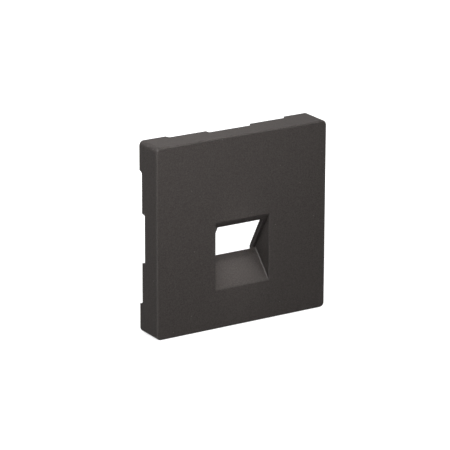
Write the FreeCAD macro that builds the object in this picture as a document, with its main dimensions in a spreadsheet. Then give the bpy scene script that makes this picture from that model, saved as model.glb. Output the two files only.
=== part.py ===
import FreeCAD, Part
import math
import os
import Sketcher

# Keystone faceplate: the square centre plate of a flush wall outlet, moulded in one piece.
# Millimetres. X points right, Y points into the wall and Z points up, seen from the room.
# The origin is the centre of the seating plane, where the rear rim meets the support frame,
# so the front face lies at Y = -plate_depth.

SIZES = [
    ("plate_width", 55.0, "outside width of the square plate"),
    ("plate_height", 55.0, "outside height of the square plate"),
    ("plate_depth", 9.2, "from the front face to the seating plane"),
    ("outer_corner_radius", 1.4, "corners of the outline, seen from the front"),
    ("front_edge_radius", 0.5, "edge between the front face and the four sides"),
    ("wall_thickness", 1.6, "four side walls"),
    ("face_thickness", 2.0, "front face"),
    ("inner_corner_radius", 0.8, "corners between the side walls, inside"),
    ("floor_radius", 0.5, "between the side walls and the back of the face"),
    ("shallow_relief_depth", 1.3, "first step of the rear rim"),
    ("shallow_relief_length", 37.8, "length of the first step at its root"),
    ("shallow_relief_radius", 0.7, "root of the first step's ends"),
    ("deep_relief_depth", 2.75, "second step, measured from the seating plane"),
    ("deep_relief_length", 13.8, "length of the second step at its root"),
    ("deep_relief_radius", 0.3, "root of the second step's ends"),
    ("relief_flank_run", 0.25, "how far the end of each step leans outward"),
    ("window_height", 19.35, "window in the front face"),
    ("window_top", 3.3, "top edge of the window above the plate's centre"),
    ("window_edge_break", 0.15, "broken edge round the window"),
    ("well_side_draft", 2.0, "lean of the window's side walls, in degrees"),
    ("well_root_height", 0.1, "flat where the tilted wall meets the ramp"),
    ("port_tilt", 30.0, "lean of the jack's port from upright, in degrees"),
    ("port_thickness", 1.5, "tilted wall that the port is cut in"),
    ("port_width", 15.05, "clear width for the jack"),
    ("port_side_margin", 1.175, "front of the window on each side of the port"),
    ("port_top_drop", 1.62, "top of the port under the top of the window"),
    ("ramp_slope", 50.0, "slope of the ramp from level, in degrees"),
    ("ramp_thickness", 2.0, "ramp plate under the port"),
    ("ramp_side_radius", 0.3, "between the ramp and the window's side walls"),
    ("crest_setback", 0.12, "free edge of the ramp in front of the tilted wall"),
    ("crest_corner_radius", 0.9, "corners behind the free edge of the ramp"),
    ("cheek_thickness", 1.5, "side walls of the funnel"),
    ("cheek_reach", 1.7, "cheeks behind the line where the tilted wall meets the ramp"),
    ("clip_width", 6.0, "each of the four snap clips"),
    ("clip_root_thickness", 1.8, "clip where it leaves the face"),
    ("clip_tip_thickness", 1.2, "clip at its tip"),
    ("clip_lead_in", 0.4, "outer corner of the tip, below the clip's outer face"),
    ("clip_reach", 5.0, "clip past the seating plane"),
    ("clip_barb_height", 0.8, "barb that catches the support frame"),
    ("clip_barb_length", 2.6, "barb from its catch to the clip's tip"),
    ("clip_barb_land", 0.4, "flat crown of the barb"),
    ("clip_spacing_across", 28.0, "between the middles of the clips, left to right"),
    ("clip_spacing_up", 44.0, "between the outer faces of the clips, bottom to top"),
    ("gusset_width", 1.2, "rib that stiffens each clip"),
    ("gusset_foot", 3.5, "foot of that rib on the back of the face"),
    ("gusset_height", 4.5, "height of that rib along the clip"),
    ("brace_thickness", 1.0, "ribs between the funnel and the side walls"),
    ("brace_height", 1.5, "those ribs above the back of the face"),
    ("pin_mark_diameter", 3.5, "round marks of the ejector pins on the back of the face"),
    ("pin_mark_depth", 0.1, "how far those marks are sunk"),
    ("pin_mark_margin", 7.5, "from the side walls' inner faces to the marks' centres"),
    ("pin_mark_rise", 6.0, "middle pair of marks above the plate's centre"),
]

# Formulas that several outlines share. A word in braces is a size of the sheet.
# Depths run back from the front face, heights up from the plate's centre.
WINDOW_HALF = "({port_width} / 2 + {port_side_margin})"
WINDOW_BOTTOM = "({window_top} - {window_height})"
WELL_TAPER = "(1 / tan({port_tilt}) + tan({ramp_slope}))"
KNEE_DEPTH = "(({window_height} - {well_root_height}) / " + WELL_TAPER + ")"
KNEE_TOP = "({window_top} - " + KNEE_DEPTH + " / tan({port_tilt}))"
KNEE_BOTTOM = "(" + WINDOW_BOTTOM + " + " + KNEE_DEPTH + " * tan({ramp_slope}))"
PORT_TOP = "({window_top} - {port_top_drop})"
PORT_BOTTOM = "((" + KNEE_TOP + " + " + KNEE_BOTTOM + ") / 2)"
PORT_MIDDLE = "((" + PORT_BOTTOM + " + " + PORT_TOP + ") / 2)"
CREST_DEPTH = "(" + KNEE_DEPTH + " - {crest_setback})"
FUNNEL_BACK = "(" + KNEE_DEPTH + " + {cheek_reach})"
BEHIND_FUNNEL = "(" + FUNNEL_BACK + " + {cheek_reach})"
IN_FACE = "({face_thickness} / 2)"
CLIP_FACE = "({clip_spacing_up} / 2)"


# Places closer together than this are the same place.
TOUCH = 1e-4


def y_at(depth):
    """Formula for the place along Y of a depth behind the front face."""
    return "(" + depth + " - {plate_depth})"


document = FreeCAD.newDocument("Faceplate")
sheet = document.addObject("Spreadsheet::Sheet", "Sizes")
for row, (alias, size, meaning) in enumerate(SIZES, start=1):
    sheet.set("A%d" % row, str(size))
    sheet.setAlias("A%d" % row, alias)
    sheet.set("B%d" % row, meaning)
document.recompute()

body = document.addObject("PartDesign::Body", "faceplate")
body.Label = "faceplate"


def bound(formula):
    """The formula as an expression over the sheet's aliases."""
    return formula.format(**{alias: "Sizes." + alias for alias, _, _ in SIZES})


def number(formula):
    """The formula's value at the present sizes."""
    return float(sheet.evalExpression(bound(formula)))


def origin_plane(role):
    """One of the body's own origin planes."""
    return next(plane for plane in body.Origin.OriginFeatures if plane.Role == role)


def sketch_on(role, name, offset="0"):
    """An empty sketch on an origin plane, set off along the plane's normal."""
    sketch = body.newObject("Sketcher::SketchObject", name)
    sketch.AttachmentSupport = [(origin_plane(role), "")]
    sketch.MapMode = "FlatFace"
    sketch.setExpression("AttachmentOffset.Base.z", bound(offset))
    return sketch


def quarter_arc(start, end):
    """The quarter turn to the left from one point to another."""
    span = end - start
    centre = (start + end + FreeCAD.Vector(-span.y, span.x, 0)) * 0.5
    arm = start - centre
    angle = math.atan2(arm.y, arm.x)
    circle = Part.Circle(centre, FreeCAD.Vector(0, 0, 1), arm.Length)
    return Part.ArcOfCircle(circle, angle, angle + math.pi / 2)


def add_outline(sketch, corners, rounded=()):
    """A closed outline with each corner bound to a pair of formulas.

    Its edges are straight, but an edge whose number is in rounded is a quarter turn to the
    left that leaves the edge before it smoothly.
    """
    first = sketch.GeometryCount
    count = len(corners)
    points = [FreeCAD.Vector(number(across), number(up), 0) for across, up in corners]
    for index in range(count):
        ends = points[index], points[(index + 1) % count]
        edge = quarter_arc(*ends) if index in rounded else Part.LineSegment(*ends)
        sketch.addGeometry(edge, False)
    for index in range(count):
        following = (index + 1) % count
        kind = "Tangent" if following in rounded else "Coincident"
        sketch.addConstraint(
            Sketcher.Constraint(kind, first + index, 2, first + following, 1))
    for index, corner in enumerate(corners):
        vertex = first + index
        for direction, formula in zip("XY", corner):
            if abs(number(formula)) < TOUCH:
                axis = -2 if direction == "X" else -1
                sketch.addConstraint(Sketcher.Constraint("PointOnObject", vertex, 1, axis))
                continue
            distance = Sketcher.Constraint(
                "Distance" + direction, -1, 1, vertex, 1, number(formula))
            constraint = sketch.addConstraint(distance)
            name = "corner%d%s" % (vertex, direction)
            sketch.renameConstraint(constraint, name)
            sketch.setExpression("Constraints." + name, bound(formula))


def add_circle(sketch, across, up, radius):
    """A circle with its centre and its radius bound to formulas."""
    centre = FreeCAD.Vector(number(across), number(up), 0)
    circle = sketch.addGeometry(
        Part.Circle(centre, FreeCAD.Vector(0, 0, 1), number(radius)), False)
    size = sketch.addConstraint(Sketcher.Constraint("Radius", circle, number(radius)))
    sketch.setExpression("Constraints[%d]" % size, bound(radius))
    for direction, formula in zip("XY", (across, up)):
        if abs(number(formula)) < TOUCH:
            axis = -2 if direction == "X" else -1
            sketch.addConstraint(Sketcher.Constraint("PointOnObject", circle, 3, axis))
            continue
        place = sketch.addConstraint(Sketcher.Constraint(
            "Distance" + direction, -1, 1, circle, 3, number(formula)))
        sketch.setExpression("Constraints[%d]" % place, bound(formula))


def add_box_outline(sketch, left, right, bottom, top):
    """A rectangular outline between four formulas."""
    add_outline(sketch, [(left, bottom), (right, bottom), (right, top), (left, top)])


def extrude(kind, name, sketch, length=None, symmetric=False, along_normal=True):
    """A Pad or a Pocket of a sketch. A Pocket without a length goes through everything."""
    before = body.Shape.Volume if body.Tip else 0.0
    feature = body.newObject("PartDesign::" + kind, name)
    feature.Profile = sketch
    if symmetric:
        feature.SideType = "Symmetric"
    if length is None:
        feature.Type = "ThroughAll"
    else:
        feature.setExpression("Length", bound(length))
    feature.Reversed = along_normal == (kind == "Pocket")
    document.recompute()
    gained = body.Shape.Volume - before
    if gained * (1 if kind == "Pad" else -1) <= 0:
        raise RuntimeError("%s changed the volume by %.3f" % (name, gained))
    return feature


def taper(name, mouth, root, depth):
    """A tapered hole from a mouth in the front face to a root at a depth.

    Mouth and root are rectangles, given as half the width, the bottom and the top.
    """
    before = body.Shape.Volume
    sections = []
    for part, place, (half, bottom, top) in (("_mouth", "0", mouth), ("_root", depth, root)):
        section = sketch_on("XZ_Plane", name + part, "{plate_depth} - " + place)
        add_box_outline(section, "-(" + half + ")", half, bottom, top)
        sections.append(section)
    loft = body.newObject("PartDesign::SubtractiveLoft", name)
    loft.Profile = sections[0]
    loft.Sections = sections[1:]
    loft.Ruled = True
    document.recompute()
    if body.Shape.Volume >= before:
        raise RuntimeError(name + " cuts nothing")


def round_edges(name, radius, chosen):
    """A Fillet of every edge of the body that the test picks."""
    picked = []
    for index, edge in enumerate(body.Shape.Edges, start=1):
        if chosen(edge):
            picked.append("Edge%d" % index)
    if not picked:
        raise RuntimeError(name + " finds no edge")
    base = body.Tip
    fillet = body.newObject("PartDesign::Fillet", name)
    fillet.Base = (base, picked)
    fillet.setExpression("Radius", bound(radius))
    document.recompute()
    if not body.Shape.isValid():
        raise RuntimeError(name + " spoils the solid")


def near(place, formula):
    """Whether a coordinate is where the formula says."""
    return abs(place - number(formula)) < TOUCH


def runs_along(edge, axis):
    """Whether a straight edge is parallel to an axis."""
    return isinstance(edge.Curve, Part.Line) and edge.Curve.Direction.cross(axis).Length < TOUCH


ACROSS = FreeCAD.Vector(1, 0, 0)
INWARD = FreeCAD.Vector(0, 1, 0)
UP = FreeCAD.Vector(0, 0, 1)


def middle(edge):
    """The point halfway between an edge's ends."""
    return edge.valueAt((edge.FirstParameter + edge.LastParameter) / 2)


def lies_at_depth(edge, depth):
    """Whether all of an edge is at one depth behind the front face."""
    box = edge.BoundBox
    return near(box.YMin, y_at(depth)) and near(box.YMax, y_at(depth))


def make_cap():
    """The square cap: a face with four side walls, open at the back."""
    outline = sketch_on("XZ_Plane", "cap_outline")
    add_box_outline(outline, "-{plate_width} / 2", "{plate_width} / 2",
                    "-{plate_height} / 2", "{plate_height} / 2")
    extrude("Pad", "cap_block", outline, "{plate_depth}")
    round_edges("cap_corners", "{outer_corner_radius}",
                lambda edge: runs_along(edge, INWARD))
    round_edges("cap_front_edge", "{front_edge_radius}",
                lambda edge: lies_at_depth(edge, "0"))
    hollow = sketch_on("XZ_Plane", "cap_hollow_outline")
    half_width = "({plate_width} / 2 - {wall_thickness})"
    half_height = "({plate_height} / 2 - {wall_thickness})"
    add_box_outline(hollow, "-" + half_width, half_width, "-" + half_height, half_height)
    extrude("Pocket", "cap_hollow", hollow, "{plate_depth} - {face_thickness}")
    round_edges("cap_inner_corners", "{inner_corner_radius}",
                lambda edge: runs_along(edge, INWARD) and near(abs(middle(edge).x), half_width))
    round_edges("cap_floor_edge", "{floor_radius}",
                lambda edge: lies_at_depth(edge, "{face_thickness}"))


def relief_steps():
    """Half of the stepped relief as (place along the wall, place along Y)."""
    deep = "{deep_relief_length} / 2"
    shallow = "{shallow_relief_length} / 2"
    return [
        (deep, "-{deep_relief_depth}"),
        (deep + " + {relief_flank_run}", "-{shallow_relief_depth}"),
        (shallow, "-{shallow_relief_depth}"),
        (shallow + " + {relief_flank_run}", "0"),
    ]


def make_reliefs():
    """The rear rim steps back twice in the middle of each side, to clear the support frame."""
    right = relief_steps()
    left = [("-(" + along + ")", inward) for along, inward in reversed(right)]
    steps = right + left
    upright = sketch_on("XY_Plane", "relief_outline_top_bottom")
    add_outline(upright, steps)
    extrude("Pocket", "relief_top_bottom", upright, symmetric=True)
    sideways = sketch_on("YZ_Plane", "relief_outline_sides")
    add_outline(sideways, [(inward, along) for along, inward in steps])
    extrude("Pocket", "relief_sides", sideways, symmetric=True)

    def at_root(edge, depth, length):
        point = middle(edge)
        if not near(point.y, "-" + depth):
            return False
        if runs_along(edge, UP):
            return near(abs(point.x), length + " / 2")
        return runs_along(edge, ACROSS) and near(abs(point.z), length + " / 2")

    round_edges("shallow_relief_roots", "{shallow_relief_radius}",
                lambda edge: at_root(edge, "{shallow_relief_depth}", "{shallow_relief_length}"))
    round_edges("deep_relief_roots", "{deep_relief_radius}",
                lambda edge: at_root(edge, "{deep_relief_depth}", "{deep_relief_length}"))


def make_funnel():
    """The funnel behind the window: two cheeks, a ramp and the tilted wall with the port."""
    lean = " / tan({port_tilt})"
    wall_shift = "{port_thickness} / cos({port_tilt})"
    ramp_shift = "{ramp_thickness} / cos({ramp_slope})"

    def back_of_wall(depth):
        return "{window_top} - (" + depth + " - " + wall_shift + ")" + lean

    def under_ramp(depth):
        return WINDOW_BOTTOM + " - " + ramp_shift + " + " + depth + " * tan({ramp_slope})"

    side = sketch_on("YZ_Plane", "funnel_side_outline")
    add_outline(side, [
        (y_at(IN_FACE), back_of_wall(IN_FACE)),
        (y_at(FUNNEL_BACK), back_of_wall(FUNNEL_BACK)),
        (y_at(FUNNEL_BACK), under_ramp(FUNNEL_BACK)),
        (y_at(IN_FACE), under_ramp(IN_FACE)),
    ])
    extrude("Pad", "funnel_block", side, "2 * (" + WINDOW_HALF + " + {cheek_thickness})",
            symmetric=True)

    root_half = "(" + WINDOW_HALF + " - " + KNEE_DEPTH + " * tan({well_side_draft}))"
    taper("well", (WINDOW_HALF, WINDOW_BOTTOM, "{window_top}"),
          (root_half, KNEE_BOTTOM, KNEE_TOP), KNEE_DEPTH)

    port = sketch_on("YZ_Plane", "port_outline")
    add_box_outline(port, y_at("0"), y_at(BEHIND_FUNNEL), PORT_BOTTOM, PORT_TOP)
    extrude("Pocket", "port", port, "{port_width}", symmetric=True)

    gap = sketch_on("XY_Plane", "crest_gap_outline", PORT_MIDDLE)
    half = "{port_width} / 2"
    turn = "{crest_corner_radius}"
    add_outline(gap, [
        ("-" + half, y_at(CREST_DEPTH + " + " + turn)),
        ("-" + half + " + " + turn, y_at(CREST_DEPTH)),
        (half + " - " + turn, y_at(CREST_DEPTH)),
        (half, y_at(CREST_DEPTH + " + " + turn)),
        (half, y_at(BEHIND_FUNNEL)),
        ("-" + half, y_at(BEHIND_FUNNEL)),
    ], rounded=(0, 2))
    extrude("Pocket", "crest_gap", gap, along_normal=False)

    def beside_ramp(edge):
        if len(edge.Vertexes) != 2:
            return False
        low, high = sorted((vertex.Point for vertex in edge.Vertexes), key=lambda p: p.z)
        return (near(low.z, WINDOW_BOTTOM) and near(abs(low.x), WINDOW_HALF)
                and near(high.z, KNEE_BOTTOM) and near(abs(high.x), root_half))

    round_edges("ramp_sides", "{ramp_side_radius}", beside_ramp)

    broken = "{window_edge_break}"
    twice = "2 * " + broken
    taper("window_edge",
          (WINDOW_HALF + " + " + broken, WINDOW_BOTTOM + " - " + broken,
           "{window_top} + " + broken),
          (WINDOW_HALF + " - " + twice + " * tan({well_side_draft}) - " + broken,
           WINDOW_BOTTOM + " + " + twice + " * tan({ramp_slope}) + " + broken,
           "{window_top} - " + twice + lean + " - " + broken),
          twice)


def make_clips():
    """Four snap clips that hold the plate in the support frame, each with its rib."""
    inner_root = CLIP_FACE + " - {clip_root_thickness}"
    inner_tip = CLIP_FACE + " - {clip_tip_thickness}"
    catch = "({clip_reach} - {clip_barb_length})"
    arm = sketch_on("YZ_Plane", "clip_outline", "({clip_spacing_across} - {clip_width}) / 2")
    add_outline(arm, [
        (y_at(IN_FACE), inner_root),
        ("{clip_reach}", inner_tip),
        ("{clip_reach}", CLIP_FACE + " - {clip_lead_in}"),
        (catch + " + {clip_barb_land}", CLIP_FACE + " + {clip_barb_height}"),
        (catch, CLIP_FACE + " + {clip_barb_height}"),
        (catch, CLIP_FACE),
        (y_at(IN_FACE), CLIP_FACE),
    ])
    clip = extrude("Pad", "clip", arm, "{clip_width}")
    rib = sketch_on("YZ_Plane", "gusset_outline",
                    "({clip_spacing_across} - {gusset_width}) / 2")
    in_clip = CLIP_FACE + " - {clip_root_thickness} / 2"
    add_outline(rib, [
        (y_at(IN_FACE), inner_root + " - {gusset_foot}"),
        (y_at("{face_thickness}"), inner_root + " - {gusset_foot}"),
        (y_at("{face_thickness} + {gusset_height}"), in_clip),
        (y_at(IN_FACE), in_clip),
    ])
    gusset = extrude("Pad", "gusset", rib, "{gusset_width}")
    before = body.Shape.Volume
    all_four = body.newObject("PartDesign::MultiTransform", "all_clips")
    mirrors = []
    for role in ("YZ_Plane", "XY_Plane"):
        mirror = document.addObject("PartDesign::Mirrored", "clip_mirror_" + role[:2])
        mirror.MirrorPlane = (origin_plane(role), [""])
        mirrors.append(mirror)
    all_four.Originals = [clip, gusset]
    all_four.Transformations = mirrors
    body.Tip = all_four
    document.recompute()
    if body.Shape.Volume <= before:
        raise RuntimeError("the clips are not repeated")


def make_braces():
    """Low ribs on the back of the face, from the funnel to the side walls."""
    plan = sketch_on("XZ_Plane", "brace_outline", "{plate_depth} - " + IN_FACE)
    cheek = "(" + WINDOW_HALF + " + {cheek_thickness} / 2)"
    half = "({brace_thickness} / 2)"
    wall_x = "(({plate_width} - {wall_thickness}) / 2)"
    wall_z = "(({plate_height} - {wall_thickness}) / 2)"
    level = "({window_top} - {window_height} / 2)"
    for side in ("", "-"):
        inner = side + "(" + cheek + " - " + half + ")"
        outer = side + "(" + cheek + " + " + half + ")"
        add_box_outline(plan, inner, outer, "-" + wall_z, wall_z)
    extrude("Pad", "upright_braces", plan, IN_FACE + " + {brace_height}", along_normal=False)
    level_plan = sketch_on("XZ_Plane", "level_brace_outline", "{plate_depth} - " + IN_FACE)
    for side in ("", "-"):
        add_box_outline(level_plan, side + cheek, side + wall_x,
                        level + " - " + half, level + " + " + half)
    extrude("Pad", "level_braces", level_plan, IN_FACE + " + {brace_height}",
            along_normal=False)


def make_pin_marks():
    """Shallow round marks on the back of the face, where the ejector pins pushed it out."""
    plan = sketch_on("XZ_Plane", "pin_mark_outline", "{plate_depth} - {face_thickness}")
    across = "({plate_width} / 2 - {wall_thickness} - {pin_mark_margin})"
    low = "(-{plate_height} / 2 + {wall_thickness} + {pin_mark_margin})"
    high = "({plate_height} / 2 - {wall_thickness} - {pin_mark_margin} / 2)"
    add_circle(plan, "-" + across, "{pin_mark_rise}", "{pin_mark_diameter} / 2")
    add_circle(plan, across, "{pin_mark_rise}", "{pin_mark_diameter} / 2")
    add_circle(plan, "-" + across, low, "{pin_mark_diameter} / 2")
    add_circle(plan, across, low, "{pin_mark_diameter} / 2")
    add_circle(plan, "0", high, "{pin_mark_diameter} / 2")
    extrude("Pocket", "pin_marks", plan, "{pin_mark_depth}")


make_cap()
make_reliefs()
make_funnel()
make_clips()
make_braces()
make_pin_marks()
document.recompute()

for item in document.Objects:
    if "Invalid" in item.State or "Error" in item.State:
        raise RuntimeError("%s failed: %s" % (item.Label, item.State))
shape = body.Shape
if shape.isNull() or not shape.isValid() or len(shape.Solids) != 1:
    raise RuntimeError("the faceplate is not one valid solid")

os.makedirs("parts", exist_ok=True)
shape.exportStep("parts/%s.step" % body.Label)
print("%s: %.1f mm3, %d faces, box %s" % (
    body.Label, shape.Volume, len(shape.Faces), shape.BoundBox))
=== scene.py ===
# %% [markdown]
# # A keystone faceplate
# This notebook dresses one small moulding: the square centre plate of a data outlet, with a
# sunken window and a tilted port that takes a keystone jack. The plate is a single piece of
# dark plastic, so the lesson is about three things: a camera that agrees with a photograph,
# light that shapes a dark object on a white ground, and a plastic that doesn't look like flat
# paint.
#
# The solid comes ready made from the frame, in metres, with Z up, Y into the wall and the
# front face towards -Y. It is never moved here. It only gets its finish.

# %% The frame
import math

import bpy
from mathutils import Matrix, Vector


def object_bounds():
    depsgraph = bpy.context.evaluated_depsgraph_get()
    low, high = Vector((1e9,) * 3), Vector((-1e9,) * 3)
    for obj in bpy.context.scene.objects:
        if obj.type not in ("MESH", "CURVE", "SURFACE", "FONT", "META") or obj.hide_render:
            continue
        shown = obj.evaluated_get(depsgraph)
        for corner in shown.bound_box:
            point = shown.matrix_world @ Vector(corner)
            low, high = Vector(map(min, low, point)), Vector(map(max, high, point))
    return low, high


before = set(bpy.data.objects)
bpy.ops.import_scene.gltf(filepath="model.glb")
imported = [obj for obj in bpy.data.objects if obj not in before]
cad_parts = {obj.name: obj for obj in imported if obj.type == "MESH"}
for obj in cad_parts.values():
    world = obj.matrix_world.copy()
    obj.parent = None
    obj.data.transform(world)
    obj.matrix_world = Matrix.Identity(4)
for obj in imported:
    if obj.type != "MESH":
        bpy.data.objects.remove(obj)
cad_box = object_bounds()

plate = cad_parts["faceplate"]
print("faceplate:", len(plate.data.polygons), "faces")

# %% [markdown]
# ## Units and colours
# Sizes are written in millimetres and turned to metres by MM. Colours are written as the hex
# values that a colour picker shows on a screen. Blender's shaders count in linear light, so
# one function turns hex to linear.

# %% Units and colours
MM = 0.001


def linear(hex_colour):
    """The linear RGBA of an sRGB hex colour such as '#808080'."""
    channels = [int(hex_colour[start:start + 2], 16) / 255 for start in (1, 3, 5)]
    return [c / 12.92 if c <= 0.04045 else ((c + 0.055) / 1.055) ** 2.4
            for c in channels] + [1.0]


print("#808080 is %.3f in linear light" % linear("#808080")[0])

# %% [markdown]
# ## Where the plate is
# The camera and the lamps are placed from the middle of the plate's front face, and the paper
# from its lowest edge. Both could be typed in as numbers. They are read off the plate's box,
# so the scene still fits when someone changes the plate's size.

# %% Where the plate is
lowest, highest = (Vector(corner) for corner in cad_box)
face_centre = Vector((0, lowest.y, (lowest.z + highest.z) / 2))
floor_z = lowest.z
print("plate %.1f x %.1f x %.1f mm" % tuple((highest - lowest) / MM))

# %% [markdown]
# ## The camera
# The photograph was taken with a long lens, from the left and a little above. One could push
# a camera about by hand until the outlines agree. Here its angles were fitted to the plate's
# edges instead, and they are written as a photographer would say them: how far round the
# plate, how high above level, how far off, and where the plate sits in the picture. The
# camera stands about fourteen plate widths away, which keeps the edges almost parallel. The
# lens shift stays at zero, so that the camera suits every other view too.

# %% Which way the camera looks
VIEW_LEFT_DEG = 31.94
VIEW_ABOVE_DEG = 17.94
VIEW_ROLL_DEG = 0.18

left = math.radians(VIEW_LEFT_DEG)
above = math.radians(VIEW_ABOVE_DEG)
roll = math.radians(VIEW_ROLL_DEG)
forward = Vector((math.sin(left) * math.cos(above), math.cos(left) * math.cos(above),
                  -math.sin(above)))
level_right = Vector((math.cos(left), -math.sin(left), 0))
level_up = level_right.cross(forward)
right = level_right * math.cos(roll) + level_up * math.sin(roll)
up = level_up * math.cos(roll) - level_right * math.sin(roll)
print("the camera looks along", [round(c, 3) for c in forward])

# %% The camera
VIEW_DISTANCE = 791.7 * MM
PLATE_RIGHT_OF_CENTRE = 4.88 * MM
PLATE_ABOVE_CENTRE = -1.36 * MM
SENSOR_MM = 36.0
LENS_MM = 229.5

camera = bpy.data.objects.new("camera", bpy.data.cameras.new("camera"))
bpy.context.scene.collection.objects.link(camera)
camera.data.sensor_width = SENSOR_MM
camera.data.lens = LENS_MM
aim = face_centre - right * PLATE_RIGHT_OF_CENTRE - up * PLATE_ABOVE_CENTRE
turn = Matrix((right, up, -forward)).transposed().to_4x4()
camera.matrix_world = Matrix.Translation(aim - forward * VIEW_DISTANCE) @ turn
bpy.context.scene.camera = camera
bpy.context.scene.view_settings.view_transform = "Standard"
print("camera at", [round(c, 3) for c in camera.matrix_world.translation])

# %% [markdown]
# ## One helper for nodes
# Every material below is a small graph. One function adds a node, sets its values and links
# its inputs, so a graph reads from top to bottom as a list of steps.


# %% One helper for nodes
def add_node(tree, kind, inputs=None, **settings):
    """Adds a node. Inputs are values, or sockets to link from."""
    node = tree.nodes.new(kind)
    for name, value in settings.items():
        setattr(node, name, value)
    for name, value in (inputs or {}).items():
        if isinstance(value, bpy.types.NodeSocket):
            tree.links.new(value, node.inputs[name])
        else:
            node.inputs[name].default_value = value
    return node


def new_material(name):
    """An empty material with its output node."""
    material = bpy.data.materials.new(name)
    material.use_nodes = True
    tree = material.node_tree
    tree.nodes.clear()
    return material, tree, add_node(tree, "ShaderNodeOutputMaterial")


# %% [markdown]
# ## The white ground
# The plate was photographed on a pale paper sweep, and the white was pushed until nothing of
# the sweep was left. More light would do that too, but it would wash out the dark plastic. So
# the paper here is a pale grey that bounces only a little light. It glows as well, but only
# for rays that come from the camera, from a reflection or through something clear. The glow
# shows, and it doesn't light the plastic's colour. Close to the plate the paper glows less,
# so that a soft shadow can stay.


# %% Rays that see the white
def seen_directly(tree):
    """One for rays from the camera, a reflection or a transmission, otherwise zero."""
    rays = add_node(tree, "ShaderNodeLightPath")
    mirrored = add_node(tree, "ShaderNodeMath", {0: rays.outputs["Is Glossy Ray"],
                                                 1: rays.outputs["Is Transmission Ray"]},
                        operation="MAXIMUM")
    either = add_node(tree, "ShaderNodeMath", {0: rays.outputs["Is Camera Ray"],
                                               1: mirrored.outputs[0]},
                      operation="MAXIMUM")
    return either.outputs[0]


# %% The paper sweep
SWEEP_SIZE = 6.0
PAPER_COLOUR = "#acacac"
GLOW_NEAR = 0.72
GLOW_FAR = 0.97
NEAR_RADIUS = 45 * MM
FAR_RADIUS = 150 * MM

bpy.ops.mesh.primitive_plane_add(size=SWEEP_SIZE, location=(0, 0, floor_z))
floor = bpy.context.object
floor.name = "floor"
sweep, tree, output = new_material("pale_paper_sweep")
paper = add_node(tree, "ShaderNodeBsdfDiffuse", {"Color": linear(PAPER_COLOUR)})
place = add_node(tree, "ShaderNodeTexCoord")
radius = add_node(tree, "ShaderNodeVectorMath", {0: place.outputs["Object"]},
                  operation="LENGTH")
glow_level = add_node(tree, "ShaderNodeMapRange", {
    "Value": radius.outputs["Value"], "From Min": NEAR_RADIUS, "From Max": FAR_RADIUS,
    "To Min": GLOW_NEAR, "To Max": GLOW_FAR}, interpolation_type="SMOOTHSTEP")
glow_seen = add_node(tree, "ShaderNodeMath", {0: seen_directly(tree),
                                              1: glow_level.outputs["Result"]},
                     operation="MULTIPLY")
glow = add_node(tree, "ShaderNodeEmission", {"Color": linear("#ffffff"),
                                             "Strength": glow_seen.outputs[0]})
both = add_node(tree, "ShaderNodeAddShader", {0: paper.outputs[0], 1: glow.outputs[0]})
tree.links.new(both.outputs[0], output.inputs["Surface"])
floor.data.materials.append(sweep)
print("paper at %.1f mm" % (floor_z / MM))

# %% [markdown]
# ## The room
# Behind the sweep stands the world. It is white for the same rays, and for everything else it
# is a dim dome that keeps the shaded sides from going black. A picture of a studio could
# stand here, but it would show in the plastic's sheen, and a plain dome doesn't.

# %% The room
DOME_STRENGTH = 0.1
WHITE_STRENGTH = 1.0

world = bpy.data.worlds.new("white_room")
bpy.context.scene.world = world
world.use_nodes = True
tree = world.node_tree
tree.nodes.clear()
dome = add_node(tree, "ShaderNodeBackground", {"Color": linear("#ffffff"),
                                               "Strength": DOME_STRENGTH})
white = add_node(tree, "ShaderNodeBackground", {"Color": linear("#ffffff"),
                                                "Strength": WHITE_STRENGTH})
pick = add_node(tree, "ShaderNodeMixShader", {0: seen_directly(tree),
                                              1: dome.outputs[0], 2: white.outputs[0]})
add_node(tree, "ShaderNodeOutputWorld", {"Surface": pick.outputs[0]})
print("dome at %.2f of white" % DOME_STRENGTH)

# %% [markdown]
# ## The light
# The photograph says where its lamps stood. The top of the plate is its brightest side, so
# most of the light comes from above. The front is brightest at its upper left corner, and the
# lower right one sends back two fifths less light, over only 55 mm. An open lamp that is far
# off can't do that, so the key and the fill wear grids that keep their beams narrow, and both
# aim past the upper left corner. A small softbox close by does the rest of the front, a
# larger one the left side, and one that leans over the plate its top. Two more are for
# whoever walks round the plate: they light its back and its right side, which this camera
# never sees.
#
# Each lamp is hung as on a set: how far round to the right of the front it is, how high, how
# far off, and what it aims at.


# %% How a lamp is hung
def hang(name, lamp, right_deg, above_deg, distance, aim):
    """Hangs a lamp at an angle and a distance from the middle of the front face."""
    across, lift = math.radians(right_deg), math.radians(above_deg)
    reach = Vector((math.sin(across) * math.cos(lift), -math.cos(across) * math.cos(lift),
                    math.sin(lift)))
    holder = bpy.data.objects.new(name, lamp)
    bpy.context.scene.collection.objects.link(holder)
    holder.location = face_centre + reach * distance
    holder.rotation_mode = "QUATERNION"
    holder.rotation_quaternion = (holder.location - aim).to_track_quat("Z", "Y")
    holder.visible_camera = False
    print("%s: %.3f W at %d mm" % (name, lamp.energy, distance / MM))
    return holder


# %% The softboxes
# Without a grid, a softbox shines into the whole half of the room in front of it.
OPEN_DEG = 180


def softbox(name, right_deg, above_deg, distance, size, power, aim=face_centre,
            grid_deg=OPEN_DEG):
    """A square softbox, with a grid over it where its beam has to be narrow."""
    lamp = bpy.data.lights.new(name, "AREA")
    lamp.size = size
    lamp.energy = power
    lamp.spread = math.radians(grid_deg)
    hang(name, lamp, right_deg, above_deg, distance, aim)


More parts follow.
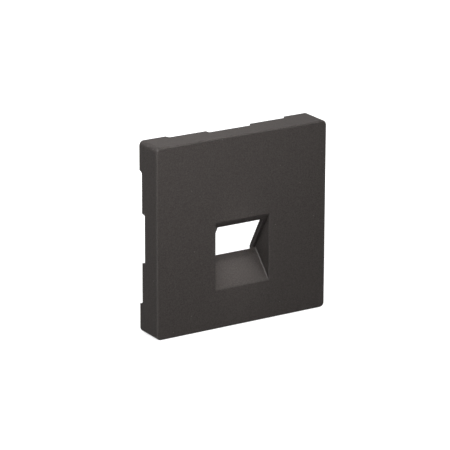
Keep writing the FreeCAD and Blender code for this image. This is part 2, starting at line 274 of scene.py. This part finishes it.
past_upper_left = face_centre + Vector((-45, 0, 75)) * MM
upper_left = face_centre + Vector((-30, 0, 30)) * MM
softbox("gridded_key", -35, 50, 450 * MM, 120 * MM, 0.067, aim=past_upper_left, grid_deg=26)
softbox("gridded_fill", 30, 50, 450 * MM, 120 * MM, 0.020, aim=past_upper_left, grid_deg=26)
softbox("right_softbox", 40, 50, 180 * MM, 80 * MM, 0.069, aim=upper_left, grid_deg=120)
softbox("left_softbox", -60, 45, 200 * MM, 120 * MM, 0.170)
softbox("top_softbox", 180, 65, 400 * MM, 200 * MM, 0.09)
softbox("back_softbox", 180, 9, 500 * MM, 120 * MM, 2.4)
softbox("right_side_softbox", 100, 9, 500 * MM, 120 * MM, 1.8)

# %% [markdown]
# ## The light on the ramp
# The ramp in the window is far brighter than the front around it. One more softbox above it
# would brighten the front as well, and with a grid that is narrow enough for a window of
# 17 mm the picture turns noisy, because hardly any sample finds the beam. So a small spot
# with a snoot shines steeply down into the window. Its cone is flattened, so that it clears
# the window's upper edge, and its rim fades, so that nobody sees where it ends.

# %% The light on the ramp
SNOOT_POWER = 1.0
SNOOT_CONE_DEG = 6.6
SNOOT_RIM_FADE = 0.8
SNOOT_FLATTENING = 0.55
SNOOT_MOUTH_RADIUS = 5 * MM

snoot = bpy.data.lights.new("ramp_snoot", "SPOT")
snoot.energy = SNOOT_POWER
snoot.spot_size = math.radians(SNOOT_CONE_DEG)
snoot.spot_blend = SNOOT_RIM_FADE
snoot.shadow_soft_size = SNOOT_MOUTH_RADIUS
in_the_window = face_centre + Vector((-0.8, 0, -6)) * MM
snoot_holder = hang("ramp_snoot", snoot, 0, 68, 150 * MM, in_the_window)
snoot_holder.scale = (1, SNOOT_FLATTENING, 1)

# %% [markdown]
# ## The grain of the plastic
# Plates like this are moulded in ABS that is dyed through, in a steel mould whose walls were
# eroded by sparks. The erosion leaves a fine, even grain, which is why the plastic looks
# satin and not glossy: each grain tips the surface a few degrees. A very fine mesh could be
# displaced by a noise. The grains are far too small to show in the outline, though, so the
# noise only goes into a bump.
#
# The real grain is about 0.1 mm across. That is finer than this picture can show, so it is
# drawn three times as coarse, at about one pixel.

# %% The grain of the plastic
GRAIN = 0.30 * MM
GRAIN_DEPTH = 0.02 * MM
GRAIN_STRENGTH = 0.3

moulded_abs, tree, output = new_material("spark_textured_anthracite_abs")
place = add_node(tree, "ShaderNodeTexCoord")
grain = add_node(tree, "ShaderNodeTexNoise", {"Vector": place.outputs["Object"],
                                              "Scale": 1 / GRAIN, "Detail": 2.0,
                                              "Roughness": 0.5})
bump = add_node(tree, "ShaderNodeBump", {"Height": grain.outputs["Fac"],
                                         "Strength": GRAIN_STRENGTH,
                                         "Distance": GRAIN_DEPTH})
print("grain %.2f mm across and %.3f mm deep" % (GRAIN / MM, GRAIN_DEPTH / MM))

# %% [markdown]
# ## The colour of the plastic
# The dye is a warm black, so the grey leans to brown. Light sinks into the pits of the grain
# and comes back from its tips. The noise that makes the bump also runs between two close
# colours. That is partly the plastic's own uneven tone, and partly painted shade in the pits
# and painted light on the tips. A few specks of pale pigment never dissolved. They could be a
# second noise, but a Voronoi pattern gives one small round dot in each of its cells, which is
# what they are. The dots fade from their rim to half of their radius.

# %% The colour of the plastic
PIT_COLOUR = "#2d2a29"
TIP_COLOUR = "#4a4644"
SPECK_COLOUR = "#605b59"
SPECK_SPACING = 3.5 * MM
SPECK_RADIUS = 0.16 * MM

# Uneven tone with painted shade: darker in the pits of the bump, lighter on its tips.
grain_tone_and_painted_shade = add_node(tree, "ShaderNodeMix", {"Factor": grain.outputs["Fac"],
                                          6: linear(PIT_COLOUR), 7: linear(TIP_COLOUR)},
                  data_type="RGBA")
specks = add_node(tree, "ShaderNodeTexVoronoi", {"Vector": place.outputs["Object"],
                                                 "Scale": 1 / SPECK_SPACING})
speck_mask = add_node(tree, "ShaderNodeMapRange", {
    "Value": specks.outputs["Distance"], "From Min": SPECK_RADIUS / SPECK_SPACING,
    "From Max": 0.5 * SPECK_RADIUS / SPECK_SPACING, "To Min": 0.0, "To Max": 1.0})
dyed = add_node(tree, "ShaderNodeMix", {"Factor": speck_mask.outputs["Result"],
                                        6: grain_tone_and_painted_shade.outputs[2], 7: linear(SPECK_COLOUR)},
                data_type="RGBA")
print("from", PIT_COLOUR, "to", TIP_COLOUR, "with specks", SPECK_COLOUR)

# %% [markdown]
# ## The smoother edges
# The texture thins out on the narrow rounded edges, so they are smoother than the faces and
# each catches a thin line of light. The edges could be selected and given a second material,
# but they also give themselves away: the flat faces look in a few directions only, and what
# looks elsewhere is an edge. The four sides and the wide corners between them look straight
# outward, so their normals have no part along Y. The front, the ramp and the wall with the
# port have one direction each. The graph takes the best match with all of these, and where a
# normal turns away from it, a thin coat brings the gloss back.

# %% The smoother edges
RAMP_SLOPE = math.radians(50)
PORT_TILT = math.radians(30)
FLATS = [(0, 1, 0), (0, -math.sin(RAMP_SLOPE), math.cos(RAMP_SLOPE)),
         (0, math.cos(PORT_TILT), math.sin(PORT_TILT))]
EDGE_TURN = math.radians(20)
EDGE_GLOSS = 0.3

outward = add_node(tree, "ShaderNodeVectorMath", {0: place.outputs["Normal"], 1: (1, 0, 1)},
                   operation="MULTIPLY")
flatness = add_node(tree, "ShaderNodeVectorMath", {0: outward.outputs["Vector"]},
                    operation="LENGTH").outputs["Value"]
for flat in FLATS:
    facing = add_node(tree, "ShaderNodeVectorMath", {0: place.outputs["Normal"], 1: flat},
                      operation="DOT_PRODUCT")
    either_way = add_node(tree, "ShaderNodeMath", {0: facing.outputs["Value"]},
                          operation="ABSOLUTE")
    flatness = add_node(tree, "ShaderNodeMath", {0: either_way.outputs[0], 1: flatness},
                        operation="MAXIMUM").outputs[0]
edge_coat = add_node(tree, "ShaderNodeMapRange", {
    "Value": flatness, "From Min": math.cos(EDGE_TURN), "From Max": math.cos(EDGE_TURN / 2),
    "To Min": EDGE_GLOSS, "To Max": 0.0})
print("edges start where the surface turns by %.0f degrees" % math.degrees(EDGE_TURN / 2))

# %% [markdown]
# ## The plastic
# ABS has an IOR of 1.54, and a satin moulding a roughness of about 0.5. The grains shade each
# other and swallow most of the sheen that this gives at a flat angle, so the specular level
# is far below its default. The coat is the same plastic without the grain: the same IOR and
# half the roughness.

# %% The plastic
ABS_IOR = 1.54

plastic = add_node(tree, "ShaderNodeBsdfPrincipled", {
    "Base Color": dyed.outputs[2], "Roughness": 0.5, "IOR": ABS_IOR,
    "Specular IOR Level": 0.02, "Coat Weight": edge_coat.outputs["Result"],
    "Coat Roughness": 0.25, "Coat IOR": ABS_IOR, "Normal": bump.outputs["Normal"]})
tree.links.new(plastic.outputs[0], output.inputs["Surface"])

for slot in plate.material_slots:
    slot.material = moulded_abs
print("finish:", moulded_abs.name, "in", len(plate.material_slots), "slot")
